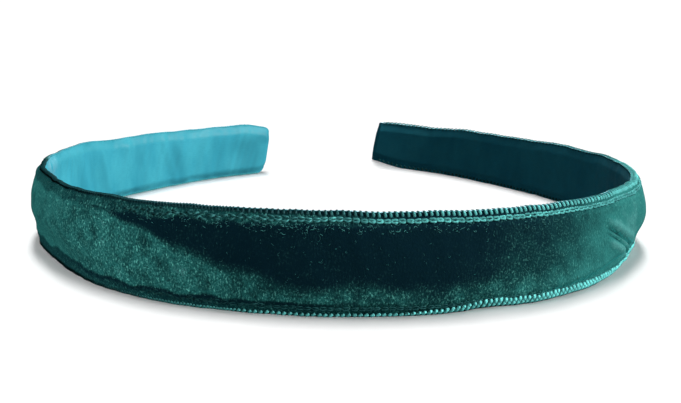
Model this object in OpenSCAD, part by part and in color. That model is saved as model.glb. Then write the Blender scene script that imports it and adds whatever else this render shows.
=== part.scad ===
// Velvet-covered Alice band (a springy C-shaped headband), lying on its lower edge.
// The crown is at the front (-Y), the two tips are at the back (+Y), +Z is across the band.
// Every layer follows one plan curve, the middle of the core: a crown arc, two side arcs
// and two tail arcs that meet without a kink. n is the distance outside that curve.

/* [Band] */
// Overall width of the band, over the velvet
band_w = 144; // [120:1:175]
// Width of both ribbons at the front, seam to seam
ribbon_w = 22; // [16:0.5:28]
// Width of the band at the tips
tip_w = 12.5; // [11:0.5:14]
// Radius of the crown arc
crown_r = 78; // [70:1:95]
// Half of the angle that the crown arc spans
crown_half_angle = 25; // [15:1:30]
// Direction in which the side arc ends, from straight ahead
side_end_angle = 122; // [105:1:130]
// Radius of the tail arc
tail_r = 124; // [90:1:150]
// Direction in which the band ends at the tip
tip_angle = 151; // [140:1:155]
// Radius of the rounded corners at the tips
tip_corner_r = 3.5; // [2:0.5:5]

/* [Core] */
// Thickness of the plastic core
core_t = 1.6; // [1:0.1:3]
// How far each ribbon reaches past the core's edge
flange_w = 2; // [1.5:0.1:3.5]

/* [Covering] */
// Thickness of the velvet ribbon with its pile
velvet_t = 1.1; // [0.6:0.1:2]
// Thickness of the satin lining ribbon
lining_t = 0.4; // [0.2:0.05:1]
// Thickness of each film of adhesive
glue_t = 0.15; // [0.1:0.05:0.4]
// How far each film of adhesive stays inside the core's edge
glue_inset = 0.5; // [0.2:0.1:1.5]

/* [Edge stitching] */
// How far the stitches stand over the edges of the ribbons
thread_t = 0.6; // [0.3:0.1:1]
// Clearance between the stitches and the core's edge
thread_gap = 0.2; // [0.1:0.1:0.5]

/* [Flexing] */
// Direction of the band at the point where each arm flexes
flex_angle = 40; // [35:1:60]
// Half of the notch on the outer side, which closes as an arm spreads
spread_half_angle = 11; // [2:0.5:20]
// Half of the notch on the inner side, which closes as an arm is pinched
pinch_half_angle = 3.5; // [2:0.5:10]
// Clearance between the crown and an arm in the neutral line
flex_gap = 0.1; // [0.05:0.05:0.3]

/* [Hidden] */
$fn = 48;

// Layer faces, as distances n from the middle of the core.
n_core = core_t / 2;
n_glue = n_core + glue_t;
n_velvet = n_glue + velvet_t;
n_lining = n_glue + lining_t;

// The side arc's radius follows from the overall width.
half_w = band_w / 2 - n_velvet;
side_r = (half_w - crown_r * sin(crown_half_angle)) / (1 - sin(crown_half_angle));

// The point at distance r from an arc's centre where the band runs in direction a,
// which is measured from straight across (+X) and grows towards the tip.
function out_from(centre, r, a) = centre + r * [sin(a), -cos(a)];
crown_centre = [0, crown_r];
side_centre = out_from(crown_centre, crown_r - side_r, crown_half_angle);
tail_centre = out_from(side_centre, side_r - tail_r, side_end_angle);

// The point of a layer's face n where the band runs in direction a. A negative
// direction is on the -X side.
function half_point(a, n) =
    a <= crown_half_angle ? out_from(crown_centre, crown_r + n, a)
    : a <= side_end_angle ? out_from(side_centre, side_r + n, a)
    : out_from(tail_centre, tail_r + n, a);
function band_point(a, n) =
    let (p = half_point(abs(a), n)) [sign(a) * p[0], p[1]];

// Directions from a0 to a1, one facet apart.
facet_angle = 4;
function directions(a0, a1) =
    let (count = ceil((a1 - a0) / facet_angle)) [for (i = [0 : count]) a0 + i * (a1 - a0) / count];

flex_point = band_point(flex_angle, 0);
tip_point = band_point(tip_angle, 0);

// The middle of the band from front to back, which is put at y = 0.
centre_y = (band_point(tip_angle, n_velvet)[1] + band_point(0, n_velvet)[1]) / 2;

core_inset = thread_t + flange_w;
film_inset = core_inset + glue_inset;
web_inset = core_inset - thread_gap;
reach = 1.5 * band_w;

// Plan of a layer between faces n0 and n1, from direction a0 to a1.
module strip_plan(n0, n1, a0, a1) {
    outside = [for (a = directions(a0, a1)) band_point(a, n1)];
    inside = [for (a = directions(-a1, -a0)) band_point(-a, n0)];
    polygon(concat(outside, inside));
}

// Cutter that clears the far side of the notch at the flex point, seen from the crown.
module beyond_notch() {
    half_gap = flex_gap / 2;
    h = 2 * n_velvet;
    polygon([[-half_gap - h * tan(spread_half_angle), -h], [-half_gap, 0],
             [-half_gap - h * tan(pinch_half_angle), h], [h, h], [h, -h]]);
}

module at_flex_point() {
    translate(flex_point) rotate(flex_angle) children();
}

// Plan of a crown layer, with a notched end at each side.
module crown_plan(n0, n1) {
    difference() {
        strip_plan(n0, n1, -flex_angle, flex_angle);
        for (side = [0, 1]) mirror([side, 0]) at_flex_point() beyond_notch();
    }
}

// Plan of a layer of the arm at +X, with a notched end at the crown.
module arm_plan(n0, n1) {
    difference() {
        strip_plan(n0, n1, flex_angle, tip_angle);
        at_flex_point() mirror([1, 0]) beyond_notch();
    }
}

// Plans of the core, whose ends meet as a rounded nose in a socket instead of a notch.
module crown_core_plan() {
    difference() {
        strip_plan(-n_core, n_core, -flex_angle, flex_angle);
        for (side = [0, 1]) mirror([side, 0]) at_flex_point() circle(n_core + flex_gap);
    }
}

module arm_core_plan() {
    strip_plan(-n_core, n_core, flex_angle, tip_angle);
    at_flex_point() circle(n_core - flex_gap / 2);
}

// Height of the top edge above the lower one, where the band is at y.
function edge_z(y) = ribbon_w - (ribbon_w - tip_w) * y / tip_point[1];

// Extrudes an outline in the Y-Z plane along X, over the whole band.
module across(outline) {
    rotate([90, 0, 90]) linear_extrude(reach, center = true) polygon(outline);
}

// All space between the two edges, set in from each of them.
module between_edges(inset) {
    across([[-reach, inset], [reach, inset],
            [reach, edge_z(reach) - inset], [-reach, edge_z(-reach) - inset]]);
}

// Strips along the top and the lower edge, between two depths inside the edge.
module along_top(shallow, deep) {
    across([[-reach, edge_z(-reach) - deep], [reach, edge_z(reach) - deep],
            [reach, edge_z(reach) - shallow], [-reach, edge_z(-reach) - shallow]]);
}

module along_bottom(shallow, deep) {
    across([[-reach, shallow], [reach, shallow], [reach, deep], [-reach, deep]]);
}

// All space on the crown's side of the tip's rounded end, set in by a distance.
module inside_tip(inset) {
    r = tip_corner_r - inset;
    back = -tip_corner_r - 1;
    corner = [0 : 15 : 90];
    translate([tip_point[0], tip_point[1], 0]) rotate([90, 0, tip_angle])
        linear_extrude(2 * reach, center = true) polygon(concat(
            [[-reach, -ribbon_w], [back, -ribbon_w]],
            [for (a = corner) [-tip_corner_r + r * sin(a), tip_corner_r - r * cos(a)]],
            [for (a = corner) [-tip_corner_r + r * cos(a), tip_w - tip_corner_r + r * sin(a)]],
            [[back, 2 * ribbon_w], [-reach, 2 * ribbon_w]]));
}

// Puts a solid of the arm at +X on either side, and centres it from front to back.
module on_side(side) {
    mirror([side < 0 ? 1 : 0, 0, 0]) translate([0, -centre_y, 0]) children();
}

// The first child, a plan, raised over the whole width and kept inside the second child.
module raised() {
    intersection() {
        linear_extrude(ribbon_w + 1) children(0);
        children(1);
    }
}

// A layer of the crown between faces n0 and n1, kept inside the children.
module crown_layer(n0, n1) {
    on_side(1) raised() {
        crown_plan(n0, n1);
        children();
    }
}

// The same for an arm, where side is 1 at +X and -1 at -X.
module arm_layer(side, n0, n1, tip_inset = velvet_t) {
    on_side(side) raised() {
        arm_plan(n0, n1);
        intersection() {
            children();
            inside_tip(tip_inset);
        }
    }
}

// The springy strip inside the band.
module crown_core() color("DimGray") on_side(1) raised() {
    crown_core_plan();
    between_edges(core_inset);
}

module arm_core(side) color("DimGray") on_side(side) raised() {
    arm_core_plan();
    intersection() {
        between_edges(core_inset);
        inside_tip(velvet_t);
    }
}

// The adhesive that holds the velvet on the core's outer face.
module crown_outer_adhesive() color("Wheat")
    crown_layer(n_core, n_glue) between_edges(film_inset);

module arm_outer_adhesive(side) color("Wheat")
    arm_layer(side, n_core, n_glue) between_edges(film_inset);

// The adhesive that holds the lining on the core's inner face.
module crown_inner_adhesive() color("Ivory")
    crown_layer(-n_glue, -n_core) between_edges(film_inset);

module arm_inner_adhesive(side) color("Ivory")
    arm_layer(side, -n_glue, -n_core) between_edges(film_inset);

// The velvet ribbon outside. At each tip it folds round the end of the core.
module crown_velvet() color("DarkSlateGray")
    crown_layer(n_glue, n_velvet) between_edges(thread_t);

module arm_velvet(side) color("DarkSlateGray") {
    arm_layer(side, n_glue, n_velvet, 0) between_edges(thread_t);
    arm_layer(side, -n_lining, n_glue, 0) difference() {
        between_edges(thread_t);
        inside_tip(velvet_t);
    }
}

// The satin ribbon inside.
module crown_lining() color("MediumTurquoise")
    crown_layer(-n_lining, -n_glue) between_edges(thread_t);

module arm_lining(side) color("MediumTurquoise")
    arm_layer(side, -n_lining, -n_glue) between_edges(thread_t);

// The stitches along an edge: a cap over both ribbons, and a web between them.
module crown_top_stitching() color("Teal") {
    crown_layer(-n_lining, n_velvet) along_top(0, thread_t);
    crown_layer(-n_glue, n_glue) along_top(thread_t, web_inset);
}

module arm_top_stitching(side) color("Teal") {
    arm_layer(side, -n_lining, n_velvet) along_top(0, thread_t);
    arm_layer(side, -n_glue, n_glue) along_top(thread_t, web_inset);
}

module crown_bottom_stitching() color("SeaGreen") {
    crown_layer(-n_lining, n_velvet) along_bottom(0, thread_t);
    crown_layer(-n_glue, n_glue) along_bottom(thread_t, web_inset);
}

module arm_bottom_stitching(side) color("SeaGreen") {
    arm_layer(side, -n_lining, n_velvet) along_bottom(0, thread_t);
    arm_layer(side, -n_glue, n_glue) along_bottom(thread_t, web_inset);
}

crown_core();
arm_core(-1);  // left_arm_core
arm_core(1);  // right_arm_core
crown_outer_adhesive();
arm_outer_adhesive(-1);  // left_arm_outer_adhesive
arm_outer_adhesive(1);  // right_arm_outer_adhesive
crown_inner_adhesive();
arm_inner_adhesive(-1);  // left_arm_inner_adhesive
arm_inner_adhesive(1);  // right_arm_inner_adhesive
crown_velvet();
arm_velvet(-1);  // left_arm_velvet
arm_velvet(1);  // right_arm_velvet
crown_lining();
arm_lining(-1);  // left_arm_lining
arm_lining(1);  // right_arm_lining
crown_top_stitching();
arm_top_stitching(-1);  // left_arm_top_stitching
arm_top_stitching(1);  // right_arm_top_stitching
crown_bottom_stitching();
arm_bottom_stitching(-1);  // left_arm_bottom_stitching
arm_bottom_stitching(1);  // right_arm_bottom_stitching
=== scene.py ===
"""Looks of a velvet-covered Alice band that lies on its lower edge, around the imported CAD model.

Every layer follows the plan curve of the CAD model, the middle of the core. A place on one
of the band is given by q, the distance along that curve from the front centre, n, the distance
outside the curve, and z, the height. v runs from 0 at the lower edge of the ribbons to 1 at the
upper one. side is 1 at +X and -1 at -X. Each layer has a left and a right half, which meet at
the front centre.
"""
import math

import bpy
import numpy as np
from mathutils import Matrix, Vector


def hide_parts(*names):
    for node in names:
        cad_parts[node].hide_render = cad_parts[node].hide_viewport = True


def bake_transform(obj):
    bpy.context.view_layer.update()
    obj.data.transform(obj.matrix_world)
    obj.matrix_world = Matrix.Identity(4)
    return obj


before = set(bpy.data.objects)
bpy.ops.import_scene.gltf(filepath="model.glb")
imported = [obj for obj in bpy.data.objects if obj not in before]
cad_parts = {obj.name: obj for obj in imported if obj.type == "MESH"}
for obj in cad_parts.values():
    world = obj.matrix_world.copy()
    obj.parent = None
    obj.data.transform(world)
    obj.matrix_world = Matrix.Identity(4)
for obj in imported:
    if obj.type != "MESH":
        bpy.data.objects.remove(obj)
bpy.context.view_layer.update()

# ---------------------------------------------------------------- sizes of the band, in metres
MM = 0.001
BAND_W = 144 * MM
RIBBON_W = 22 * MM
CROWN_R = 78 * MM
CROWN_HALF = math.radians(25)
SIDE_END = math.radians(122)
TAIL_R = 124 * MM
TIP_DIRECTION = math.radians(151)
CORE_T = 1.6 * MM
GLUE_T = 0.15 * MM
VELVET_T = 1.1 * MM
LINING_T = 0.4 * MM
THREAD_T = 0.6 * MM
FLANGE_W = 2.0 * MM
GLUE_INSET = 0.5 * MM

N_CORE = CORE_T / 2
N_GLUE = N_CORE + GLUE_T
N_VELVET = N_GLUE + VELVET_T
HALF_W = BAND_W / 2 - N_VELVET
SIDE_R = (HALF_W - CROWN_R * math.sin(CROWN_HALF)) / (1 - math.sin(CROWN_HALF))
Q_CROWN = CROWN_R * CROWN_HALF
Q_SIDE = Q_CROWN + SIDE_R * (SIDE_END - CROWN_HALF)
Q_TIP = Q_SIDE + TAIL_R * (TIP_DIRECTION - SIDE_END)
CORE_INSET = THREAD_T + FLANGE_W

# The ribbons reach almost to the top of the stitches, and the pressed velvet is thin.
EDGE_GAP = 0.20 * MM
LOWER_GAP = 0.10 * MM
SEAM_HALF = 0.08 * MM
PILE_T = 0.72 * MM
SELVEDGE_T = 0.30 * MM
SELVEDGE_W = 3.2 * MM
HEM_W = 2.2 * MM
LEFT_HEM_T = 0.10 * MM
RIGHT_HEM_T = 0.42 * MM

# The hand-made band isn't quite even: its two tips differ in width, lift, corners and cut.
TIP_W = {-1: 13.9 * MM, 1: 12.3 * MM}
TIP_LIFT = {-1: 0.0, 1: 2.4 * MM}
TIP_LEAN = {-1: 0.16, 1: -0.20}
TIP_SHIFT = {-1: -0.7 * MM, 1: 1.0 * MM}
LOWER_CORNER_R = {-1: 3.2 * MM, 1: 1.2 * MM}
UPPER_CORNER_R = {-1: 3.0 * MM, 1: 1.2 * MM}
LOWER_DIP = {-1: 0.0, 1: 1.3 * MM}
UPPER_DIP = {-1: 1.0 * MM, 1: 0.0}
LEAN_LENGTH = 18 * MM
DIP_LENGTH = 10 * MM

# Uneven spots, each as its place, its length and its height. Along an edge or a face the place
# is s, which is q times side; for a dent of the whole band it is q.
TOP_SWELL = (-14 * MM, 30 * MM, 0.55 * MM)
TOP_HUMP = (-138 * MM, 7 * MM, 0.50 * MM)
SCALLOP = (30 * MM, 7 * MM, 0.50 * MM)
LEFT_LOW_DENT = (80 * MM, 20 * MM, 3.1 * MM)
LEFT_HIGH_DENT = (90 * MM, 18 * MM, 1.3 * MM)
RIGHT_LOW_DENT = (82 * MM, 17 * MM, 1.2 * MM)
RIGHT_BULGE = (93 * MM, 15 * MM, 1.5 * MM)
RIGHT_HOLLOW = (84 * MM, 9 * MM, 0.9 * MM)
LEFT_NICK = (-74 * MM, 6 * MM, 0.7 * MM)
LINING_FOLDS = (
    (-139 * MM, 1.8 * MM, 0.35 * MM),
    (-144 * MM, 1.6 * MM, -0.30 * MM),
    (-159 * MM, 2.2 * MM, 0.30 * MM),
    (-173 * MM, 1.4 * MM, 0.25 * MM),
)
# Shaded creases of the lining: place and length in millimetres, and depth of shade from 0 to 1
LINING_CREASES = (
    (-133, 2.0, 0.5), (-139, 1.4, 0.6), (-144, 1.4, 0.8),
    (-159, 3.0, 0.5), (-172, 2.0, 0.6), (-181, 2.0, 0.5),
)

# The pleat slants down along the right side, and a long shallow roll runs below it.
PLEAT_START = 61 * MM
PLEAT_END = 88 * MM
PLEAT_AT = 63.5 * MM
PLEAT_V = 0.64
PLEAT_SLANT = 0.0242 / MM
ROLL_START = 38 * MM
ROLL_END = 80 * MM
ROLL_AT = 46.6 * MM
ROLL_V = 0.17
ROLL_SLANT = 0.08 / (17.7 * MM)
ROLL_H = 0.35 * MM

# The velvet turns round the end of the core on this mean radius, and ends under the lining.
WRAP_OUTER = N_GLUE + 0.85 * PILE_T
WRAP_R = (N_GLUE + WRAP_OUTER) / 2
WRAP_START = Q_TIP - WRAP_OUTER
WRAP_RETURN = 6.0 * MM
FOLD_T = 0.35 * MM
LINING_END = Q_TIP - 0.7 * MM
Q_VELVET_END = WRAP_START + math.pi * WRAP_R + WRAP_RETURN

# Bold threads wrap the edges at the front and the right side, fine ones at the left side.
STITCH_END = WRAP_START - 1.2 * MM
BOLD_END = {-1: 24 * MM, 1: STITCH_END}
BOLD_PITCH = 1.20 * MM
FINE_PITCH = 0.74 * MM
LINK_PITCH = 1.55 * MM
LINK_HALF = 0.80 * MM
LINK_BOW = 0.27 * MM

# The wraps lie this far outside the ribbons.
WRAP_LIFT = 0.02 * MM
# From here to the tips the threads of both arms and the lining of the left one change.
FAR_ARM = 108 * MM
# The lining's upper edge stands this much higher there on the left arm.
LINING_RISE = 0.22 * MM
# Hidden strips: the radius of the corners at their ends, and the gap over each film
STRIP_CORNER_R = 2.5 * MM
FILM_CLEARANCE = 0.01 * MM
# The paper's top lies this far above the frame's ground.
FLOOR_TOP = 0.06 * MM

# Loose pile fibres on each half
FIBRES = {-1: 430, 1: 260}
FIBRE_R = 0.035 * MM
# Share of its radius that a thread keeps at its two ends
END_TAPER = 0.45

SIDES = {"left": -1, "right": 1}


# ---------------------------------------------------------------- the band's own coordinates
def smooth(x):
    """0 below 0, 1 above 1, and an even rise between."""
    x = np.clip(x, 0.0, 1.0)
    return x * x * (3.0 - 2.0 * x)


def bump(x):
    """A soft bell, 1 at 0 and almost 0 beyond 2."""
    return np.exp(-x * x)


def rise(x, start, length):
    """0 up to start, and 1 from start + length on."""
    return smooth((x - start) / length)


def fall(x, end, length):
    """1 up to end - length, and 0 from end on."""
    return smooth((end - x) / length)


def hill(x, top, length):
    """A soft bell, 1 at top and almost 0 two lengths away from it."""
    return bump((x - top) / length)


def spot(x, feature):
    """Height at x of an uneven spot."""
    top, length, height = feature
    return height * hill(x, top, length)


def rounding(distance, r):
    """How far a rounded corner of radius r stands back, at a distance from the corner's end."""
    return r - np.sqrt(np.maximum(r * r - np.maximum(r - distance, 0.0) ** 2, 0.0))


def plan(q):
    """Point of the plan curve at +X at distance q, and the direction that the band runs in."""
    on_crown = q <= Q_CROWN
    on_side = q <= Q_SIDE
    side_a = CROWN_HALF + (q - Q_CROWN) / SIDE_R
    tail_a = SIDE_END + (q - Q_SIDE) / TAIL_R
    a = np.where(on_crown, q / CROWN_R, np.where(on_side, side_a, tail_a))
    r = np.where(on_crown, CROWN_R, np.where(on_side, SIDE_R, TAIL_R))
    side_x = (CROWN_R - SIDE_R) * math.sin(CROWN_HALF)
    side_y = CROWN_R - (CROWN_R - SIDE_R) * math.cos(CROWN_HALF)
    tail_x = side_x + (SIDE_R - TAIL_R) * math.sin(SIDE_END)
    tail_y = side_y - (SIDE_R - TAIL_R) * math.cos(SIDE_END)
    centre_x = np.where(on_crown, 0.0, np.where(on_side, side_x, tail_x))
    centre_y = np.where(on_crown, CROWN_R, np.where(on_side, side_y, tail_y))
    return centre_x + r * np.sin(a), centre_y - r * np.cos(a), a


# The CAD model is centred from front to back over the velvet.
Y_BACK = float(plan(np.array(Q_TIP))[1])
Y_CENTRE = (Y_BACK - N_VELVET * math.cos(TIP_DIRECTION) - N_VELVET) / 2


def reach(q, wraps=True):
    """How far along the band a place is, and how far it has turned round the core's end."""
    if not wraps:
        return q, 0.0 * q
    turn = np.clip((q - WRAP_START) / WRAP_R, 0.0, math.pi)
    back = np.maximum(q - WRAP_START - math.pi * WRAP_R, 0.0)
    return np.minimum(q, WRAP_START) - back, turn


def edges(side, q, wraps=True):
    """Heights of the lower and the upper edge of the stitched band."""
    along, turn = reach(q, wraps)
    share = plan(along)[1] / Y_BACK
    dip = rise(along, Q_TIP - DIP_LENGTH, DIP_LENGTH)
    run = np.maximum(Q_TIP - along - WRAP_OUTER * np.sin(turn), 0.0)
    lift = TIP_LIFT[side] * share
    low = lift + LOWER_DIP[side] * dip + rounding(run, LOWER_CORNER_R[side])
    high = RIBBON_W - (RIBBON_W - TIP_W[side]) * share + lift
    high = high - UPPER_DIP[side] * dip - rounding(run, UPPER_CORNER_R[side])
    return low, high


def ripple(s, wavelength, seed, waves=7):
    """A smooth uneven wave along the band, about 1 high. s is q times side."""
    draw = np.random.default_rng(seed)
    total = np.zeros_like(s)
    for _ in range(waves):
        pitch = wavelength * draw.uniform(0.6, 1.6)
        total = total + np.sin(2 * math.pi * (s / pitch + draw.uniform()))
    return total / math.sqrt(waves)


def ripple_2d(s, z, wavelength, seed, waves=14):
    """The same over the surface of the band."""
    draw = np.random.default_rng(seed)
    total = np.zeros_like(s * z)
    for _ in range(waves):
        heading = draw.uniform(0, math.pi)
        pitch = wavelength * draw.uniform(0.6, 1.7)
        phase = (s * math.cos(heading) + z * math.sin(heading)) / pitch + draw.uniform()
        total = total + np.sin(2 * math.pi * phase)
    return total / math.sqrt(waves)


def edge_wave(side, q, upper):
    """How far the stitched edge wanders up or down."""
    s = side * q
    if upper:
        swell = spot(s, TOP_SWELL) + spot(s, TOP_HUMP)
        return swell + 0.10 * MM * ripple(s, 26 * MM, 3) + 0.05 * MM * ripple(s, 7 * MM, 4)
    wander = 0.04 * MM * (1 + ripple(s, 24 * MM, 5)) + 0.02 * MM * ripple(s, 7 * MM, 6)
    return np.maximum(wander, 0.0) + spot(s, SCALLOP)


def flange_sway(side, q, d):
    """How far the flange, free of the core, sways in and out. d is the depth inside an edge."""
    s = side * q
    sway = 0.16 * MM * ripple(s, 22 * MM, 7) + 0.07 * MM * ripple(s, 6 * MM, 8)
    return sway * fall(q, Q_TIP - 6 * MM, 8 * MM) * fall(d, FLANGE_W, FLANGE_W)


def tuck(side, q, v):
    """How far the whole band is dented inwards at share v of its height."""
    if side < 0:
        low_dent = spot(q, LEFT_LOW_DENT) * fall(v, 0.54, 0.38) * (1 - 0.35 * fall(v, 0.16, 0.16))
        return low_dent + spot(q, LEFT_HIGH_DENT) * rise(v, 0.66, 0.32)
    return spot(q, RIGHT_LOW_DENT) * fall(v, 0.36, 0.25) - spot(q, RIGHT_BULGE) * hill(v, 0.57, 0.25)


def place(side, q, n, z, wraps=True):
    """The point at q, n and z, as an array of coordinates."""
    along, turn = reach(q, wraps)
    x, y, a = plan(along)
    low, high = edges(side, np.minimum(q, WRAP_START - UPPER_CORNER_R[side]), wraps)
    lean = TIP_LEAN[side] * (z - (low + high) / 2) + TIP_SHIFT[side]
    lean = lean * rise(along, Q_TIP - LEAN_LENGTH, LEAN_LENGTH)
    n = n - tuck(side, q, (z - low) / (high - low))
    out = n * np.cos(turn)
    ahead = n * np.sin(turn) + lean
    x = x + out * np.sin(a) + ahead * np.cos(a)
    y = y - out * np.cos(a) + ahead * np.sin(a)
    return np.stack(np.broadcast_arrays(side * x, y - Y_CENTRE, z), axis=-1)


def ribbon_z(side, q, v, wraps=True):
    """Height at share v of the ribbons' width, which ends inside the stitches."""
    low, high = edges(side, q, wraps)
    low = low + LOWER_GAP + edge_wave(side, q, False)
    high = high - EDGE_GAP + edge_wave(side, q, True)
    return low + (high - low) * v, high - low


# ---------------------------------------------------------------- cross-section
def seat(d):
    """Distance of a ribbon's hidden face from the middle, at depth d: seam, then core."""
    return SEAM_HALF + (N_GLUE - SEAM_HALF) * rise(d, 0, CORE_INSET - EDGE_GAP)


def pleat_shape(s, v):
    """The gathered pleat at the right side: its strength, its two furrows and its ridges."""
    strength = rise(s, PLEAT_START, 7 * MM) * fall(s, PLEAT_END, 9 * MM)
    across = (v - PLEAT_V + (s - PLEAT_AT) * PLEAT_SLANT) * RIBBON_W / MM
    furrows = hill(across, 0, 0.28) + 0.75 * hill(across, -1.2, 0.26)
    ridges = hill(across, 1.9, 1.3) + 0.7 * hill(across, -3.0, 1.1) + 0.8 * hill(across, -0.6, 0.26)
    return strength, furrows, ridges


def creases(side, q, v):
    """Folds of the velvet, as heights over its smooth face."""
    s = side * q
    z = v * RIBBON_W
    fold = 0.10 * MM * ripple_2d(s, z, 13 * MM, 11) + 0.05 * MM * ripple_2d(s, 0.4 * z, 4.5 * MM, 12)
    pleat, furrows, ridges = pleat_shape(s, v)
    fold = fold + pleat * MM * (0.75 * ridges - 0.95 * furrows)
    fold = fold - spot(s, RIGHT_HOLLOW) * hill(v, 0.27, 0.13)
    # A long shallow roll over the lower edge, to the right of the front, with a furrow under it
    crest = ROLL_V + ROLL_SLANT * (s - ROLL_AT)
    roll = hill(v, crest, 0.045) - hill(v, crest - 0.085, 0.04)
    fold = fold + ROLL_H * roll * rise(s, ROLL_START, 14 * MM) * fall(s, ROLL_END, 12 * MM)
    fold = fold - spot(s, LEFT_NICK) * hill(v, 0.12, 0.12)
    return fold * fall(q, Q_TIP - 3 * MM, 6 * MM)


def velvet_face(side, q, v, width):
    """Distance n of the velvet's outer face."""
    d = np.minimum(v, 1 - v) * width
    _, turn = reach(q)
    thick = SELVEDGE_T + (PILE_T - SELVEDGE_T) * rise(d, 0, SELVEDGE_W)
    thick = thick + (FOLD_T - thick) * rise(turn, 0, math.pi)
    fade = fall(turn, 0.4 * math.pi, 0.4 * math.pi)
    fullness = 0.15 * MM + 0.45 * MM * fall(q, 80 * MM, 50 * MM)
    crown = fullness * (1 - (2 * v - 1) ** 2)
    # The furrow beside the stitches is soft along the top at the left.
    soft = 1 - 0.8 * (v > 0.5) * fall(side * q, -40 * MM, 20 * MM)
    furrow = 0.22 * MM * hill(d, 2.2 * MM, 0.5 * MM) * soft
    pucker = 0.06 * MM * np.sin(2 * math.pi * side * q / (2.3 * MM)) * hill(d, 2.4 * MM, MM)
    folds = pucker + creases(side, q, v) * rise(d, 0, 2 * MM)
    return seat(d) + thick + (crown - furrow + folds) * fade + flange_sway(side, q, d)


def lining_seat(q, d):
    """Distance of the lining's hidden face, which rides over the velvet folded under it."""
    return seat(d) + FOLD_T * rise(q, WRAP_START - WRAP_RETURN - 12 * MM, 12 * MM)


def lining_face(side, q, v, width):
    """Distance n of the lining's inner face, which is negative."""
    d = np.minimum(v, 1 - v) * width
    s = side * q
    z = v * RIBBON_W
    loose = np.where(s < 0, 1.4, 0.35)
    wrinkle = 0.09 * MM * ripple(s, 9 * MM, 21) + 0.05 * MM * ripple(s + 0.2 * z, 3.4 * MM, 22)
    wrinkle = loose * (wrinkle + 0.06 * MM * ripple_2d(s, z, 12 * MM, 23))
    for fold in LINING_FOLDS:
        wrinkle = wrinkle + spot(s - 0.25 * z, fold)
    wrinkle = wrinkle * rise(d, 0, 1.5 * MM) * fall(q, Q_TIP - 2 * MM, 6 * MM)
    hem = LINING_T + np.where(s < 0, LEFT_HEM_T, RIGHT_HEM_T) * fall(d, HEM_W, HEM_W)
    end = 0.35 * MM * rise(q, LINING_END - MM, MM)
    return -lining_seat(q, d) - hem - wrinkle + end + flange_sway(side, q, d)


def brushed_pile_and_sheen(s, v):
    """How far the open pile lies flattened by brushing, with painted sheen and light: bright at the
    left front below a climbing line and towards the right end, brighter in spots low down, and a
    little darker on the far arms. s is in millimetres here and in the next functions.
    """
    # At the left the pile shows brushing and painted sheen below a line that climbs to the left.
    line = 0.30 + 0.60 * fall(s, -8, 56) + 0.03 * ripple(s, 17.0, 31)
    line = line + 0.05 * rise(s, -52, 25) * fall(s, 25, 25)
    below = fall(v, line + 0.04, 0.09 + 0.12 * rise(s, -50, 40))
    left = below * (0.44 + 0.22 * fall(s, 12, 34) + 0.12 * fall(s, -66, 25))
    # Painted light and sheen: the right end, which faces the lamp, grows bright, with brighter spots
    # low down.
    right = 0.90 * smooth((s - 17) / 64 + 0.25 * (0.5 - v)) - 0.12 * rise(s, 105, 30)
    right = right + 0.34 * hill(s, 28, 18) * fall(v, 0.38, 0.2)
    right = right + 0.36 * hill(s, 77, 6) * hill(v, 0.36, 0.14)
    z = v * RIBBON_W / MM
    patches = 0.08 * ripple_2d(s, z, 16.0, 32) + 0.07 * ripple_2d(s, z, 5.0, 33)
    rear = 0.25 * rise(abs(s), 100, 30)
    return np.maximum(left, right) * (1 - rear) + patches * (0.25 + left + 0.6 * right)


def press_and_shade_selvedges(value, s, d, upper):
    """Dulls the pile along the edges at the left, and along the bottom paints it darker as
    shade. d is the depth in millimetres.
    """
    wavy = d + 0.3 * ripple(s, 9.0, 34)
    strip = 0.42 * fall(wavy, 3.0, 0.7) * fall(s, 20, 40)
    pressed = fall(s, 12, 25) * fall(wavy, 3.6, 0.8)
    # Along the bottom the dulled strip is painted dark as shade, with a painted shadow in a furrow
    # between it and the deep pile.
    dull_and_shaded = 0.30 - 0.26 * hill(wavy, 2.8, 0.7) * rise(s, -85, 20)
    return np.where(upper, np.maximum(value, strip), value + (dull_and_shaded - value) * pressed)


def nap_sheen_and_shade(side, q, v, width):
    """How far the pile lies flattened by brushing, mixed with painted sheen, highlights and shade,
    from 0 to 1.
    """
    s = side * q / MM
    d = np.minimum(v, 1 - v) * width / MM
    upper = v > 0.5
    value = press_and_shade_selvedges(brushed_pile_and_sheen(s, v), s, d, upper)
    # Painted highlight on the pleat's ridges and painted shade in its furrows
    pleat, furrows, ridges = pleat_shape(side * q, v)
    value = value + pleat * (0.62 * ridges - 0.80 * furrows)
    # Next to the stitches the pile is painted dark as shade, but less so at the right.
    unshaded_share = 0.45 * rise(s, np.where(upper, 10, -50), 30)
    return np.clip(value, 0, 1.1) * (unshaded_share + (1 - unshaded_share) * rise(d, 0, 0.9))


def graininess(s):
    """How far single tufts of pile stand out: least where the band turns away to the sides."""
    return 1 - 0.65 * fall(s, -62, 30) - 0.75 * rise(s, 26, 35)


# ---------------------------------------------------------------- mesh builders
def new_object(name, points, faces, uvs=None, flat_from=None):
    """A smooth mesh object. uvs has one row in millimetres for each point. Faces from the one
    numbered flat_from on are flat."""
    mesh = bpy.data.meshes.new(name)
    mesh.from_pydata(points.reshape(-1, 3).tolist(), [], faces)
    mesh.update()
    if uvs is not None:
        layer = mesh.uv_layers.new(name="band")
        corner = np.empty(len(mesh.loops), np.int32)
        mesh.loops.foreach_get("vertex_index", corner)
        layer.data.foreach_set("uv", uvs.reshape(-1, 2)[corner].astype(np.float32).ravel())
    shade = np.ones(len(mesh.polygons), bool)
    if flat_from is not None:
        shade[flat_from:] = False
    mesh.polygons.foreach_set("use_smooth", shade)
    obj = bpy.data.objects.new(name, mesh)
    bpy.context.scene.collection.objects.link(obj)
    return obj


def grid_faces(columns, rows, first=0):
    """Quads of a grid whose points are numbered row by row within each column."""
    c, r = np.meshgrid(np.arange(columns - 1), np.arange(rows - 1), indexing="ij")
    corner = (first + c * rows + r).ravel()
    return np.stack([corner, corner + rows, corner + rows + 1, corner + 1], axis=1)


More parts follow.
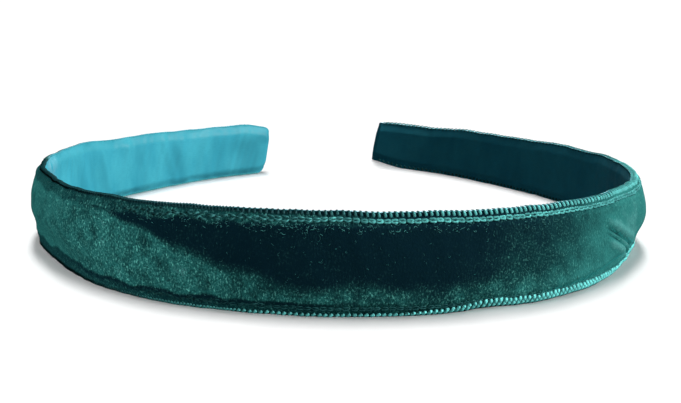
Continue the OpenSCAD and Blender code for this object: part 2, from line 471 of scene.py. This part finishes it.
def slab(name, side, outer, inner, uvs):
    """A closed thin solid between two grids of points, of shape (columns, rows, 3)."""
    columns, rows = outer.shape[:2]
    count = columns * rows
    front = grid_faces(columns, rows)
    back = grid_faces(columns, rows, count)[:, ::-1]
    c = np.arange(columns)
    r = np.arange(rows)
    border = [
        c[:-1] * rows,
        (columns - 1) * rows + r[:-1],
        (c[1:] * rows + rows - 1)[::-1],
        r[1:][::-1],
    ]
    border_next = [
        c[1:] * rows,
        (columns - 1) * rows + r[1:],
        (c[:-1] * rows + rows - 1)[::-1],
        r[:-1][::-1],
    ]
    a = np.concatenate(border)
    b = np.concatenate(border_next)
    rim = np.stack([b, a, a + count, b + count], axis=1)
    faces = np.concatenate([front, back, rim])
    if side < 0:
        faces = faces[:, ::-1]
    points = np.concatenate([outer.reshape(-1, 3), inner.reshape(-1, 3)])
    both = np.concatenate([uvs.reshape(-1, 2), uvs.reshape(-1, 2)])
    obj = new_object(name, points, faces.tolist(), both, flat_from=len(front) + len(back))
    ends = np.empty(2 * len(obj.data.edges), np.int32)
    obj.data.edges.foreach_get("vertices", ends)
    at_front = (ends.reshape(-1, 2) % count < rows).all(axis=1)
    sharp = obj.data.attributes.new("sharp_edge", "BOOLEAN", "EDGE")
    sharp.data.foreach_set("value", at_front)
    return obj


def tubes(name, paths, radius, tone_and_light, sides=7, plump=None):
    """Closed round threads along paths, an array of shape (threads, points, 3), with the
    thread's own lightness and painted light at each of their points. radius is one value, or one
    for each thread; plump scales it along each thread."""
    threads, count = paths.shape[:2]
    ahead = np.gradient(paths, axis=1)
    ahead = ahead / np.linalg.norm(ahead, axis=2, keepdims=True)
    # Any direction that no thread runs in will do to lay out the rings.
    start = np.array([0.31, 0.22, 0.93])
    across = np.cross(ahead, start)
    across = across / np.linalg.norm(across, axis=2, keepdims=True)
    up = np.cross(ahead, across)
    turn = 2 * math.pi * np.arange(sides) / sides
    taper = np.ones(count) if plump is None else plump.copy()
    taper[[0, -1]] *= END_TAPER
    ring = across[:, :, None] * np.cos(turn)[:, None] + up[:, :, None] * np.sin(turn)[:, None]
    size = np.broadcast_to(radius, threads)[:, None, None, None] * taper[None, :, None, None]
    points = paths[:, :, None] + ring * size
    step = np.linalg.norm(np.diff(paths, axis=1), axis=2)
    length = np.concatenate([np.zeros((threads, 1)), np.cumsum(step, axis=1)], axis=1) / MM
    u = np.broadcast_to(np.arange(sides) / sides, (threads, count, sides))
    uvs = np.stack([u, np.broadcast_to(length[:, :, None], u.shape)], axis=-1)
    k, i, j = np.meshgrid(np.arange(threads), np.arange(count - 1), np.arange(sides), indexing="ij")
    base = (k * count + i) * sides
    after = (j + 1) % sides
    quads = np.stack([base + j, base + after, base + sides + after, base + sides + j], axis=-1)
    cap = np.arange(sides)
    head = np.arange(threads)[:, None] * count * sides + cap[::-1]
    tail = (np.arange(threads)[:, None] * count + count - 1) * sides + cap
    faces = quads.reshape(-1, 4).tolist() + head.tolist() + tail.tolist()
    obj = new_object(name, points, faces, uvs)
    paint(obj, "tone_and_light", np.repeat(tone_and_light.ravel(), sides))
    return obj


def join(name, parts):
    """One object from several, which are removed."""
    with bpy.context.temp_override(
        active_object=parts[0], selected_editable_objects=parts, selected_objects=parts
    ):
        bpy.ops.object.join()
    parts[0].name = name
    parts[0].data.name = name
    return parts[0]


def paint(obj, name, values):
    """Stores one number for each point, for the materials to read."""
    attribute = obj.data.attributes.new(name, "FLOAT", "POINT")
    attribute.data.foreach_set("value", np.asarray(values, np.float32).ravel())


def paint_faces(obj, name, values):
    """Stores one number for each point of a slab's front, and the same for its back."""
    paint(obj, name, np.concatenate([values.ravel(), values.ravel()]))


# ---------------------------------------------------------------- the layers
def spread(rows, ease=0.35):
    """Shares from 0 to 1, closer together near both edges."""
    x = np.linspace(0.0, 1.0, rows)
    return x - ease * np.sin(2 * math.pi * x) / (2 * math.pi)


def columns_to(q_end, step=0.45 * MM, turn_step=0.18 * MM):
    """Distances along the band, closer together round the tip."""
    straight = np.linspace(0.0, Q_TIP - 8 * MM, round((Q_TIP - 8 * MM) / step))
    last = np.linspace(Q_TIP - 8 * MM, q_end, round((q_end - Q_TIP + 8 * MM) / turn_step))
    return np.concatenate([straight, last[1:]])


def band_uvs(side, q, z):
    """Place along the band and height, in millimetres."""
    return np.stack(np.broadcast_arrays(side * q / MM, z / MM), axis=-1)


def make_velvet(name, side):
    """The velvet half with its loose fibres, and its flat area."""
    q = columns_to(Q_VELVET_END)[:, None]
    v = spread(61)[None, :]
    z, width = ribbon_z(side, q, v)
    d = np.minimum(v, 1 - v) * width
    face = velvet_face(side, q, v, width)
    back = seat(d) + flange_sway(side, q, d)
    obj = slab(name, side, place(side, q, face, z), place(side, q, back, z), band_uvs(side, q, z))
    paint_faces(obj, "nap_sheen_and_shade", nap_sheen_and_shade(side, q, v, width))
    paint_faces(obj, "grainy", np.broadcast_to(graininess(side * q / MM), z.shape))
    fibres = make_fibres(name + "_fibres", side)
    return join(name, [obj, fibres]), ribbon_area(side, Q_VELVET_END)


def make_fibres(name, side):
    """Loose bright pile fibres that lie on the velvet, mostly at the front."""
    draw = np.random.default_rng(61 + side)
    count = FIBRES[side]
    q = np.abs(draw.normal(0, 36, count))[:, None] * MM + 0.5 * MM
    near_top = draw.uniform(0, 1, count) < 0.6
    v = np.where(near_top, 0.87 + draw.normal(0, 0.035, count), draw.uniform(0.15, 0.9, count))
    v = v[:, None]
    heading = np.where(near_top, draw.normal(0, 0.6, count), draw.uniform(0, 6.3, count))[:, None]
    curl = draw.uniform(-1.8, 1.8, count)[:, None]
    length = (draw.gamma(2.0, 0.14, count) + 0.15)[:, None] * MM
    t = np.linspace(-0.5, 0.5, 6)[None, :]
    turned = heading + curl * t
    along = np.abs(q + length * t * np.cos(turned))
    bottom, width = ribbon_z(side, along, 0.0)
    share = np.clip(v + length * t * np.sin(turned) / width, 0.05, 0.95)
    lift = draw.uniform(0.02, 0.12, count)[:, None] * MM * (1 - 2 * np.abs(t)) + 0.02 * MM
    path = place(side, along, velvet_face(side, along, share, width) + lift, bottom + width * share)
    tone_and_light = np.where(near_top, draw.uniform(0.3, 1.0, count), draw.uniform(0.1, 0.4, count))
    return tubes(name, path, FIBRE_R, tone_and_light[:, None] + 0 * t, sides=4)


def make_lining(name, side):
    """The lining half and its flat area."""
    q = columns_to(LINING_END)[:, None]
    v = spread(45)[None, :]
    z, width = ribbon_z(side, q, v, wraps=False)
    d = np.minimum(v, 1 - v) * width
    s = side * q / MM
    z = z + LINING_RISE * fall(s, -FAR_ARM / MM, 12) * rise(v, 0.8, 0.2)
    face = lining_face(side, q, v, width)
    back = -lining_seat(q, d) - 0.02 * MM + flange_sway(side, q, d)
    outer = place(side, q, back, z, wraps=False)
    inner = place(side, q, face, z, wraps=False)
    obj = slab(name, side, outer, inner, band_uvs(side, q, z))
    # The woven border shows at the left only, so at the right it is moved out of its reach.
    paint_faces(obj, "border", (1 - v) * width / MM + 5 * max(side, 0))
    # A pale patch of wear on the left arm, and a painted sheen patch inside the right arm
    wear_and_sheen = 0.6 * hill(s, -113, 5) * rise(v, 0.35, 0.4) + 0.30 * hill(s, 114, 9) * rise(v, 0.25, 0.4)
    paint_faces(obj, "wear_and_sheen", wear_and_sheen)
    # The slack attribute holds painted shade: creases, and the left tip's end and corner.
    paint_faces(obj, "slack", lining_shade(s, v))
    return obj, ribbon_area(side, LINING_END)


def lining_shade(s, v):
    """Painted shade on the lining, from 0 to 1: across its creases, in patches on the left arm,
    and at the left tip's end and upper corner. s is in millimetres.
    """
    shade = 0.25 * ripple_2d(s, 8 * v, 11.0, 35) * (s < -95)
    for at, length, depth in LINING_CREASES:
        shade = shade + depth * hill(s - 4 * (v - 0.7), at, length) * fall(v, 0.95, 0.3)
    shade = shade + 0.9 * hill(s, -197, 6) * fall(v, 0.9, 0.3)
    shade = shade + 1.6 * hill(s, -203, 2.5) * hill(v, 0.80, 0.12)
    return np.clip(shade, 0, 1)


def ribbon_area(side, q_end):
    """Flat area of one ribbon, from the front centre to q_end."""
    q = np.linspace(0.0, q_end, 400)
    _, width = ribbon_z(side, q, 0.0)
    return float(np.sum((width[1:] + width[:-1]) / 2 * np.diff(q)))


def make_strip(name, side, n0, n1, inset, q_end, edge_r):
    """A hidden strip between distances n0 and n1, with rounded long edges and end."""
    q = columns_to(q_end, 1.2 * MM, 0.25 * MM)[:, None]
    v = spread(21, 0.8)[None, :]
    low, high = edges(side, q)
    run = np.maximum(q_end - q, 0.0)
    low = low + inset + rounding(run, STRIP_CORNER_R)
    high = high - inset - rounding(run, STRIP_CORNER_R)
    z = low + (high - low) * v
    d = np.minimum(np.minimum(v, 1 - v) * (high - low), run)
    pull = rounding(d, edge_r)
    outer = place(side, q, n1 - pull, z)
    inner = place(side, q, n0 + pull, z)
    return slab(name, side, outer, inner, band_uvs(side, q, z))


def stitch_path(side, q, upper, tau, slant, depth, cap):
    """Points of threads that wrap an edge: q has one row a stitch, tau runs from a low value
    on the lining, over the edge at 0, to 1 on the velvet."""
    d = depth * np.abs(tau) ** 1.5 - cap * (1 - tau * tau) ** 0.8
    along = q + slant * tau
    bottom, width = ribbon_z(side, along, 0.0)
    v = np.maximum(d, 0.0) / width
    if upper:
        v = 1 - v
    outer = velvet_face(side, along, v, width) + WRAP_LIFT
    inner = lining_face(side, along, v, width) - WRAP_LIFT
    n = inner + (outer - inner) * rise(tau, -0.35, 0.7)
    z = bottom + width - d if upper else bottom + d
    return place(side, along, n, z)


def make_wraps(name, side, upper, draw):
    """Threads that wrap over the edge, one beside the other."""
    bold = np.arange(0.60 * MM, BOLD_END[side], BOLD_PITCH)
    fine = np.arange(BOLD_END[side] + 0.4 * MM, STITCH_END, FINE_PITCH)
    q = np.concatenate([bold, fine])
    q = (q + draw.uniform(-0.05, 0.05, len(q)) * MM)[:, None]
    is_fine = np.arange(len(q)) >= len(bold)
    tau = np.linspace(-0.42, 1, 12)[None, :]
    s = side * q + 0 * tau
    raised = rise(s, 6 * MM, 26 * MM)
    if upper:
        fine_r = 0.20 - 0.08 * fall(s[:, 0], -FAR_ARM, 12 * MM)
        radius = np.where(is_fine, fine_r, 0.36) * MM
        depth = (0.80 - 0.32 * fall(s, -22 * MM, 30 * MM)) * MM
        slant = 0.12 * MM * side
        gap = EDGE_GAP
        # Painted light: the upper threads are near black at the left and bright from the front to
        # the right side.
        tone_and_light = 0.74 * thread_tone_and_light(s, -14 * MM, 0.05)
    else:
        radius = np.where(is_fine, 0.25, 0.40 + 0.06 * raised[:, 0]) * MM
        depth = (0.70 + 1.45 * raised) * MM
        slant = (0.80 - 0.45 * raised) * MM * side
        gap = LOWER_GAP
        # Painted light as above, lighter at the left along the bottom.
        tone_and_light = thread_tone_and_light(s, -62 * MM, 0.42)
    depth = depth * draw.uniform(0.9, 1.1, len(q))[:, None]
    cap = gap - radius[:, None]
    wraps = stitch_path(side, q, upper, tau + 0 * q, slant, depth, cap)
    tone_and_light = tone_and_light * draw.uniform(0.78, 1.12, len(q))[:, None]
    return tubes(name, wraps, radius, np.clip(tone_and_light, 0, 1))


def make_chain(name, side, upper, draw):
    """The links inside the wraps, where the needle threads cross. At the left they are slack."""
    middle, radius, bright = (1.50, 0.24, 0.76) if upper else (2.05, 0.10, 0.36)
    q = np.arange(0.85 * MM, WRAP_START - 1.4 * MM, LINK_PITCH)
    q = (q + draw.uniform(-0.1, 0.1, len(q)) * MM)[:, None]
    t = np.linspace(-1, 1, 9)[None, :]
    slack = fall(side * q, -2 * MM, 30 * MM)
    strands = []
    for turn in (-1, 1):
        place_q = q + LINK_HALF * t + 0.3 * MM * slack * draw.uniform(-1, 1, len(q))[:, None]
        along = np.abs(place_q)
        bow = LINK_BOW * turn * np.sqrt(np.maximum(1 - t * t, 0))
        wander = 0.05 * MM + 0.40 * MM * slack * fall(q, 70 * MM, 25 * MM)
        wander = wander * draw.uniform(-1, 1.4, len(q))[:, None]
        tilt = (0.08 * MM + 0.25 * MM * slack) * draw.uniform(-1, 1, len(q))[:, None]
        d = np.maximum(middle * MM + bow + wander + tilt * t, 0.9 * MM)
        bottom, width = ribbon_z(side, along, 0.0)
        v = 1 - d / width if upper else d / width
        sunk = 0.03 * MM + 0.42 * MM * fall(side * q, -38 * MM, 18 * MM)
        n = velvet_face(side, along, v, width) + 0.15 * MM * (1 - t * t) - sunk
        path = place(side, along, n, bottom + width * v)
        # Painted light as on the wraps, kept darker along the lower edge and past the right front.
        tone_and_light = thread_tone_and_light(side * place_q, -26 * MM if upper else 15 * MM, 0.34)
        fleck = draw.uniform(0, 1, len(q))[:, None] ** 2
        tone_and_light = tone_and_light * (1 - 0.4 * slack + slack * 0.9 * fleck) * bright
        tone_and_light = tone_and_light * draw.uniform(0.62, 1.2, len(q))[:, None]
        tone_and_light = tone_and_light * (1 - 0.3 * rise(side * place_q, 45 * MM, 15 * MM))
        plump = 0.55 + 0.45 * np.sqrt(1 - (t[0] * 0.98) ** 2)
        strand = tubes(name + str(turn), path, radius * MM, np.clip(tone_and_light, 0, 1), plump=plump)
        strands.append(strand)
    return strands


def make_stitching(name, side, upper):
    """Overlocking along one edge."""
    draw = np.random.default_rng(41 + 2 * (side > 0) + upper)
    wraps = make_wraps(name, side, upper, draw)
    return join(name, [wraps] + make_chain(name + "_chain", side, upper, draw))


def thread_tone_and_light(s, start, least):
    """How light the thread is, with light and shade painted in: dark at the left, bright at the
    front and the right side, which face the lamp, darker again on the far right arm and light on the
    far left arm.
    """
    tone_and_light = least + (0.95 - least) * rise(s, start, 50 * MM)
    tone_and_light = tone_and_light * (1 + 0.12 * ripple(s, 9 * MM, 45))
    tone_and_light = tone_and_light * (1 - 0.65 * rise(s, FAR_ARM, 20 * MM))
    return np.clip(tone_and_light + 0.85 * fall(s, -FAR_ARM, 12 * MM), 0, 1)


# ---------------------------------------------------------------- materials
class Nodes:
    """Short ways to add shader nodes to one material."""

    def __init__(self, name):
        self.material = bpy.data.materials.new(name)
        self.material.use_nodes = True
        self.tree = self.material.node_tree
        self.shader = self.tree.nodes["Principled BSDF"]

    def add(self, kind, **settings):
        node = self.tree.nodes.new(kind)
        for key, value in settings.items():
            setattr(node, key, value)
        return node

    def link(self, source, target):
        self.tree.links.new(source, target)

    def uv(self, scale, rotation=0.0):
        """The piece's own coordinates in millimetres, stretched by scale."""
        source = self.add("ShaderNodeUVMap", uv_map="band")
        mapping = self.add("ShaderNodeMapping")
        mapping.inputs["Scale"].default_value = scale
        mapping.inputs["Rotation"].default_value = (0, 0, rotation)
        self.link(source.outputs[0], mapping.inputs[0])
        return mapping.outputs[0]

    def noise(self, scale, detail, rough, stretch=(1, 1, 1), rotation=0.0):
        node = self.add("ShaderNodeTexNoise", noise_dimensions="2D")
        node.inputs["Scale"].default_value = scale
        node.inputs["Detail"].default_value = detail
        node.inputs["Roughness"].default_value = rough
        self.link(self.uv(stretch, rotation), node.inputs["Vector"])
        return node.outputs[0]

    def attribute(self, name):
        return self.add("ShaderNodeAttribute", attribute_name=name).outputs["Fac"]

    def math(self, operation, a, b=None, clamp=False):
        node = self.add("ShaderNodeMath", operation=operation, use_clamp=clamp)
        for socket, value in zip(node.inputs, (a, b)):
            if isinstance(value, (int, float)):
                socket.default_value = value
            elif value is not None:
                self.link(value, socket)
        return node.outputs[0]

    def ramp(self, value, low, high):
        """0 where value is under low, 1 where it is over high."""
        node = self.add("ShaderNodeMapRange", interpolation_type="SMOOTHSTEP")
        node.inputs["From Min"].default_value = low
        node.inputs["From Max"].default_value = high
        self.link(value, node.inputs["Value"])
        return node.outputs[0]

    def mix(self, share, a, b):
        """Colour between a and b."""
        node = self.add("ShaderNodeMix", data_type="RGBA")
        for socket, value in ((0, share), (6, a), (7, b)):
            if isinstance(value, (int, float)):
                node.inputs[socket].default_value = value
            elif isinstance(value, tuple):
                node.inputs[socket].default_value = (*value, 1)
            else:
                self.link(value, node.inputs[socket])
        return node.outputs[2]

    def bump(self, height, distance, strength):
        node = self.add("ShaderNodeBump")
        node.inputs["Distance"].default_value = distance
        node.inputs["Strength"].default_value = strength
        self.link(height, node.inputs["Height"])
        self.link(node.outputs[0], self.shader.inputs["Normal"])

    def set(self, **values):
        for key, value in values.items():
            socket = self.shader.inputs[key.replace("_", " ")]
            socket.default_value = (*value, 1) if isinstance(value, tuple) else value

    def colour(self, source):
        self.link(source, self.shader.inputs["Base Color"])


def velvet_material():
    """Deep teal cut pile, dark where one looks into it. The nap attribute brings painted sheen,
    highlights and shade, and lighter flecks, partly painted glints, show where that sheen is.
    """
    m = Nodes("velvet")
    nap_and_light_value = m.attribute("nap_sheen_and_shade")
    cloud = m.noise(0.28, 4, 0.62)
    grain = m.noise(2.3, 3, 0.75, (1.0, 0.8, 1))
    hairs = m.noise(2.6, 2, 0.6, (1.0, 0.35, 1), 0.5)
    uneven = m.math("MULTIPLY", m.math("SUBTRACT", cloud, 0.5), 1.9)
    grainy = m.attribute("grainy")
    uneven = m.math("MULTIPLY", uneven, grainy)
    brushed_and_lit = m.math("ADD", nap_and_light_value, m.math("MULTIPLY", uneven, nap_and_light_value))
    # Pile lay mixed with painted sheen and shade: dark, mid and bright teal, and a pale painted
    # sheen at the brightest
    body = m.mix(m.ramp(brushed_and_lit, 0.0, 0.5), (0.0006, 0.0095, 0.0165), (0.004, 0.038, 0.040))
    body = m.mix(m.ramp(brushed_and_lit, 0.30, 0.85), body, (0.016, 0.118, 0.112))
    body = m.mix(m.ramp(brushed_and_lit, 0.85, 1.15), body, (0.043, 0.172, 0.166))
    stray = m.math("MULTIPLY", m.math("SUBTRACT", hairs, 0.5), 0.5)
    fleck = m.ramp(m.math("ADD", grain, stray), 0.52, 0.72)
    cluster = m.math("ADD", m.ramp(m.noise(0.9, 3, 0.7), 0.35, 0.68), 0.25)
    # Lighter flecks of pile, partly painted glints, strongest where the painted sheen is bright
    fleck_glint = m.math("MULTIPLY", m.math("ADD", m.math("MULTIPLY", brushed_and_lit, 0.78), 0.015), grainy)
    fleck_share = m.math("MULTIPLY", m.math("MULTIPLY", fleck, cluster), fleck_glint, clamp=True)
    body = m.mix(fleck_share, body, (0.16, 0.60, 0.52))
    # Painted shade in the pits between tufts
    pit_shade = m.ramp(grain, 0.50, 0.30)
    pit_shade = m.math("MULTIPLY", m.math("MULTIPLY", pit_shade, 0.8), grainy)
    body = m.mix(pit_shade, body, (0.001, 0.012, 0.015))
    body = m.mix(m.attribute("tone_and_light"), body, (0.11, 0.40, 0.38))
    m.colour(body)
    m.bump(m.math("ADD", grain, m.math("MULTIPLY", hairs, 0.6)), 0.25 * MM, 0.7)
    m.set(Roughness=0.9, Sheen_Weight=0.30, Sheen_Roughness=0.34)
    m.set(Sheen_Tint=(0.04, 0.62, 0.62), Specular_IOR_Level=0.03)
    return m.material


def satin_material():
    """Turquoise satin ribbon with fine warp threads and a duller woven border."""
    m = Nodes("satin")
    cloud = m.noise(0.10, 4, 0.6, (1.0, 0.5, 1))
    warp = m.noise(1.0, 3, 0.6, (0.6, 9.0, 1))
    weft = m.noise(1.0, 2, 0.5, (7.0, 0.8, 1))
    body = m.mix(m.ramp(cloud, 0.3, 0.7), (0.032, 0.285, 0.385), (0.048, 0.345, 0.440))
    body = m.mix(m.math("MULTIPLY", m.ramp(warp, 0.4, 0.7), 0.25), body, (0.016, 0.190, 0.255))
    rim = m.ramp(m.attribute("border"), 2.5, 1.9)
    body = m.mix(m.math("MULTIPLY", rim, 0.45), body, (0.036, 0.270, 0.330))
    # Painted shade from the slack attribute: the lining's creases and left tip
    body = m.mix(m.math("MULTIPLY", m.attribute("slack"), 0.62), body, (0.022, 0.200, 0.270))
    # Pale patches: wear on the left arm and painted sheen inside the right arm
    scuff_and_sheen = m.math("MULTIPLY", m.attribute("wear_and_sheen"), m.ramp(m.noise(0.35, 4, 0.6), 0.35, 0.6))
    body = m.mix(scuff_and_sheen, body, (0.15, 0.36, 0.44))
    m.colour(body)
    m.bump(m.math("ADD", warp, m.math("MULTIPLY", weft, 0.5)), 0.05 * MM, 0.5)
    m.set(Roughness=0.46, Anisotropic=0.5, Specular_IOR_Level=0.12, Sheen_Weight=0.05)
    m.set(Sheen_Roughness=0.3, Sheen_Tint=(0.6, 0.95, 1.0))
    return m.material


def thread_material():
    """Glossy two-ply sewing thread."""
    m = Nodes("edge_thread")
    ply = m.add("ShaderNodeTexWave", wave_type="BANDS", bands_direction="DIAGONAL")
    ply.inputs["Scale"].default_value = 0.55
    ply.inputs["Distortion"].default_value = 0.6
    m.link(m.uv((2.0, 1.0, 1)), ply.inputs["Vector"])
    fuzz = m.noise(3.0, 3, 0.7)
    # The tone attribute carries painted light: dark where a thread is shaded, bright where it faces
    # the lamp.
    tone_and_light = m.attribute("tone_and_light")
    body = m.mix(tone_and_light, (0.0008, 0.010, 0.014), (0.110, 0.470, 0.450))
    body = m.mix(m.math("MULTIPLY", m.ramp(fuzz, 0.65, 0.35), 0.5), body, (0.004, 0.050, 0.055))
    # Painted shade in the grooves between the plies
    groove_shade = m.ramp(ply.outputs["Fac"], 0.35, 0.0)
    body = m.mix(m.math("MULTIPLY", groove_shade, 0.6), body, (0.002, 0.025, 0.03))
    m.colour(body)
    m.bump(m.math("ADD", ply.outputs["Fac"], m.math("MULTIPLY", fuzz, 0.4)), 0.08 * MM, 0.8)
    m.set(Roughness=0.50, Specular_IOR_Level=0.06, Sheen_Weight=0.05, Sheen_Roughness=0.35)
    m.set(Sheen_Tint=(0.05, 0.75, 0.75))
    return m.material


def core_material():
    """Grey moulded plastic with a fine matt grain and faint flow lines."""
    m = Nodes("core_plastic")
    grain = m.noise(6.0, 4, 0.7)
    flow = m.noise(0.4, 3, 0.5, (0.25, 2.0, 1))
    m.colour(m.mix(m.ramp(flow, 0.3, 0.7), (0.030, 0.031, 0.034), (0.050, 0.052, 0.056)))
    m.bump(grain, 0.02 * MM, 0.4)
    m.set(Roughness=0.45)
    return m.material


def adhesive_material():
    """Cloudy film of contact adhesive."""
    m = Nodes("adhesive")
    cloud = m.noise(0.6, 5, 0.65)
    m.colour(m.mix(m.ramp(cloud, 0.3, 0.75), (0.52, 0.40, 0.22), (0.72, 0.62, 0.42)))
    m.bump(cloud, 0.05 * MM, 0.5)
    m.set(Roughness=0.3, Coat_Weight=0.2)
    return m.material


MATERIALS = {
    "velvet": velvet_material(),
    "satin": satin_material(),
    "edge_thread": thread_material(),
    "core_plastic": core_material(),
    "adhesive": adhesive_material(),
}

# ---------------------------------------------------------------- the pieces
PIECES = []


def finish_piece(obj, side_name, layer, material):
    """Gives a half layer its material and bakes its transform, hides the CAD nodes that it stands
    for, and adds it to the pieces.
    """
    obj.data.materials.clear()
    obj.data.materials.append(MATERIALS[material])
    for polygon in obj.data.polygons:
        polygon.material_index = 0
    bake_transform(obj)
    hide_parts("crown_" + layer, side_name + "_arm_" + layer)
    PIECES.append(obj)


def make_half(side_name):
    """All seven layers of one half."""
    side = SIDES[side_name]
    core_end = WRAP_START + N_CORE
    film_end = WRAP_START - 0.3 * MM
    film = CORE_INSET + GLUE_INSET
    core = make_strip("core_" + side_name, side, -N_CORE, N_CORE, CORE_INSET, core_end, 0.5 * MM)
    finish_piece(core, side_name, "core", "core_plastic")
    for layer, n0, n1 in (("outer_adhesive", N_CORE, N_GLUE), ("inner_adhesive", -N_GLUE, -N_CORE)):
        name = layer + "_" + side_name
        n0 = n0 + FILM_CLEARANCE
        n1 = n1 - FILM_CLEARANCE
        sheet = make_strip(name, side, n0, n1, film, film_end, 0.05 * MM)
        finish_piece(sheet, side_name, layer, "adhesive")
    velvet, velvet_area = make_velvet("velvet_" + side_name, side)
    finish_piece(velvet, side_name, "velvet", "velvet")
    lining, lining_area = make_lining("lining_" + side_name, side)
    finish_piece(lining, side_name, "lining", "satin")
    for edge, upper in (("top", True), ("bottom", False)):
        stitches = make_stitching(edge + "_stitching_" + side_name, side, upper)
        finish_piece(stitches, side_name, edge + "_stitching", "edge_thread")


for one_side in SIDES:
    make_half(one_side)


# ---------------------------------------------------------------- floor, camera and lights
CAMERA_LENS = 95.15
CAMERA_PLACE = (-20.7 * MM, -424.3 * MM, 106.0 * MM)
# Yaw, pitch and roll in radians
CAMERA_TURN = (-0.0519, 0.2268, 0.0201)


def make_floor():
    """White paper that follows the lower edge, which lifts a little along the right arm."""
    near = np.linspace(-0.12, 0.12, 121)
    line = np.concatenate([[-3.0], near, [3.0]])
    x, y = np.meshgrid(line, line, indexing="ij")
    lift = TIP_LIFT[1] * np.clip((y + Y_CENTRE) / Y_BACK, 0, 1)
    dip_start = Y_BACK - DIP_LENGTH / 2
    lift = lift + LOWER_DIP[1] * rise(y + Y_CENTRE, dip_start, DIP_LENGTH / 2)
    scallop_at, length, height = SCALLOP
    scallop_x, scallop_y, _ = plan(np.array(scallop_at))
    mound = height * hill(x, scallop_x, length) * hill(y + Y_CENTRE, scallop_y, length)
    z = lift * rise(x, -15 * MM, 30 * MM) + mound + FLOOR_TOP
    points = np.stack([x, y, z], axis=-1)
    obj = new_object("floor", points, grid_faces(len(line), len(line)).tolist())
    m = Nodes("floor_paper")
    grain = m.add("ShaderNodeTexNoise")
    grain.inputs["Scale"].default_value = 900
    m.colour(m.mix(grain.outputs[0], (0.90, 0.90, 0.90), (0.94, 0.94, 0.94)))
    m.set(Roughness=0.9, Specular_IOR_Level=0.1)
    obj.data.materials.append(m.material)
    obj.visible_diffuse = False
    obj.visible_glossy = False
    return obj


def make_camera():
    """The camera in front of the band, a little above it and to the left."""
    camera = bpy.data.objects.new("camera", bpy.data.cameras.new("camera"))
    bpy.context.scene.collection.objects.link(camera)
    camera.data.sensor_width = 36
    camera.data.lens = CAMERA_LENS
    camera.data.clip_start = 0.01
    camera.data.dof.use_dof = False
    yaw, pitch, roll = CAMERA_TURN
    heading = Vector((-math.sin(yaw), math.cos(yaw), 0))
    ahead = heading * math.cos(pitch) - Vector((0, 0, math.sin(pitch)))
    right = Vector((math.cos(yaw), math.sin(yaw), 0))
    up = right.cross(ahead)
    turned_right = math.cos(roll) * right + math.sin(roll) * up
    turned_up = math.cos(roll) * up - math.sin(roll) * right
    axes = Matrix((turned_right, turned_up, -ahead)).transposed()
    camera.matrix_world = Matrix.Translation(CAMERA_PLACE) @ axes.to_4x4()
    bpy.context.scene.camera = camera


def group(name, objects):
    """A collection that a light can be limited to."""
    collection = bpy.data.collections.new(name)
    for obj in objects:
        collection.objects.link(obj)
    return collection


def area_light(name, place_at, target, size, watts, colour, only):
    """A round lamp that lights only one group of objects."""
    data = bpy.data.lights.new(name, "AREA")
    data.shape = "DISK"
    data.size = size
    data.energy = watts
    data.color = colour
    obj = bpy.data.objects.new(name, data)
    bpy.context.scene.collection.objects.link(obj)
    obj.location = place_at
    obj.rotation_euler = (Vector(target) - Vector(place_at)).to_track_quat("-Z", "Y").to_euler()
    obj.light_linking.receiver_collection = only


def sun_light(name, from_direction, angle, strength, only, shadow=True):
    """A sun of the given width in degrees that lights only one group of objects."""
    data = bpy.data.lights.new(name, "SUN")
    data.angle = math.radians(angle)
    data.energy = strength
    data.use_shadow = shadow
    obj = bpy.data.objects.new(name, data)
    bpy.context.scene.collection.objects.link(obj)
    obj.rotation_euler = (-Vector(from_direction)).to_track_quat("-Z", "Y").to_euler()
    obj.light_linking.receiver_collection = only


floor = make_floor()
make_camera()
whole = group("object_only", PIECES)
pile = group("pile_only", [o for o in PIECES if "velvet" in o.name])
cloth = group("cloth_only", [o for o in PIECES if "stitching" not in o.name])
thread = group("thread_only", [o for o in PIECES if "stitching" in o.name])
paper = group("floor_only", [floor])
area_light("key", (0.55, -0.22, 0.36), (0, 0, 0.01), 0.25, 9.0, (1.0, 0.99, 0.97), whole)
area_light("front_left", (-0.60, -0.45, 0.10), (0, -0.02, 0.01), 0.35, 6.0, (0.95, 1, 1), pile)
area_light("overhead", (-0.05, 0.10, 0.80), (0, 0, 0), 0.6, 1.2, (1, 1, 1), whole)
area_light("rear", (0.10, 0.70, 0.35), (0, 0, 0.01), 0.4, 5.0, (1, 1, 1), cloth)
area_light("low_front", (0.40, -0.60, 0.04), (0, -0.03, 0.005), 0.30, 10.0, (1, 1, 1), thread)
# A strip of suns, long from front to back and narrow from side to side, lights the paper.
for slope, strength in ((-0.18, 0.42), (0.0, 0.42), (0.14, 0.60), (0.27, 0.68), (0.40, 0.50)):
    sun_light("floor_strip", (0.0, slope, 1), 12, strength, paper)
sun_light("floor_left", (-0.40, 0.10, 1), 20, 0.15, paper)
sun_light("floor_right", (0.40, 0.10, 1), 20, 0.08, paper)
sun_light("floor_fill", (0.0, 0.0, 1), 20, 0.88, paper, shadow=False)

world = bpy.data.worlds.new("studio")
bpy.context.scene.world = world
world.use_nodes = True
world_nodes = world.node_tree.nodes
backdrop = world_nodes["Background"]
backdrop.inputs[0].default_value = (1, 1, 1, 1)
ray = world_nodes.new("ShaderNodeLightPath")
level = world_nodes.new("ShaderNodeMapRange")
level.inputs["To Min"].default_value = 0.035
level.inputs["To Max"].default_value = 1.0
world.node_tree.links.new(ray.outputs["Is Camera Ray"], level.inputs["Value"])
world.node_tree.links.new(level.outputs[0], backdrop.inputs[1])
bpy.context.scene.view_settings.view_transform = "Standard"
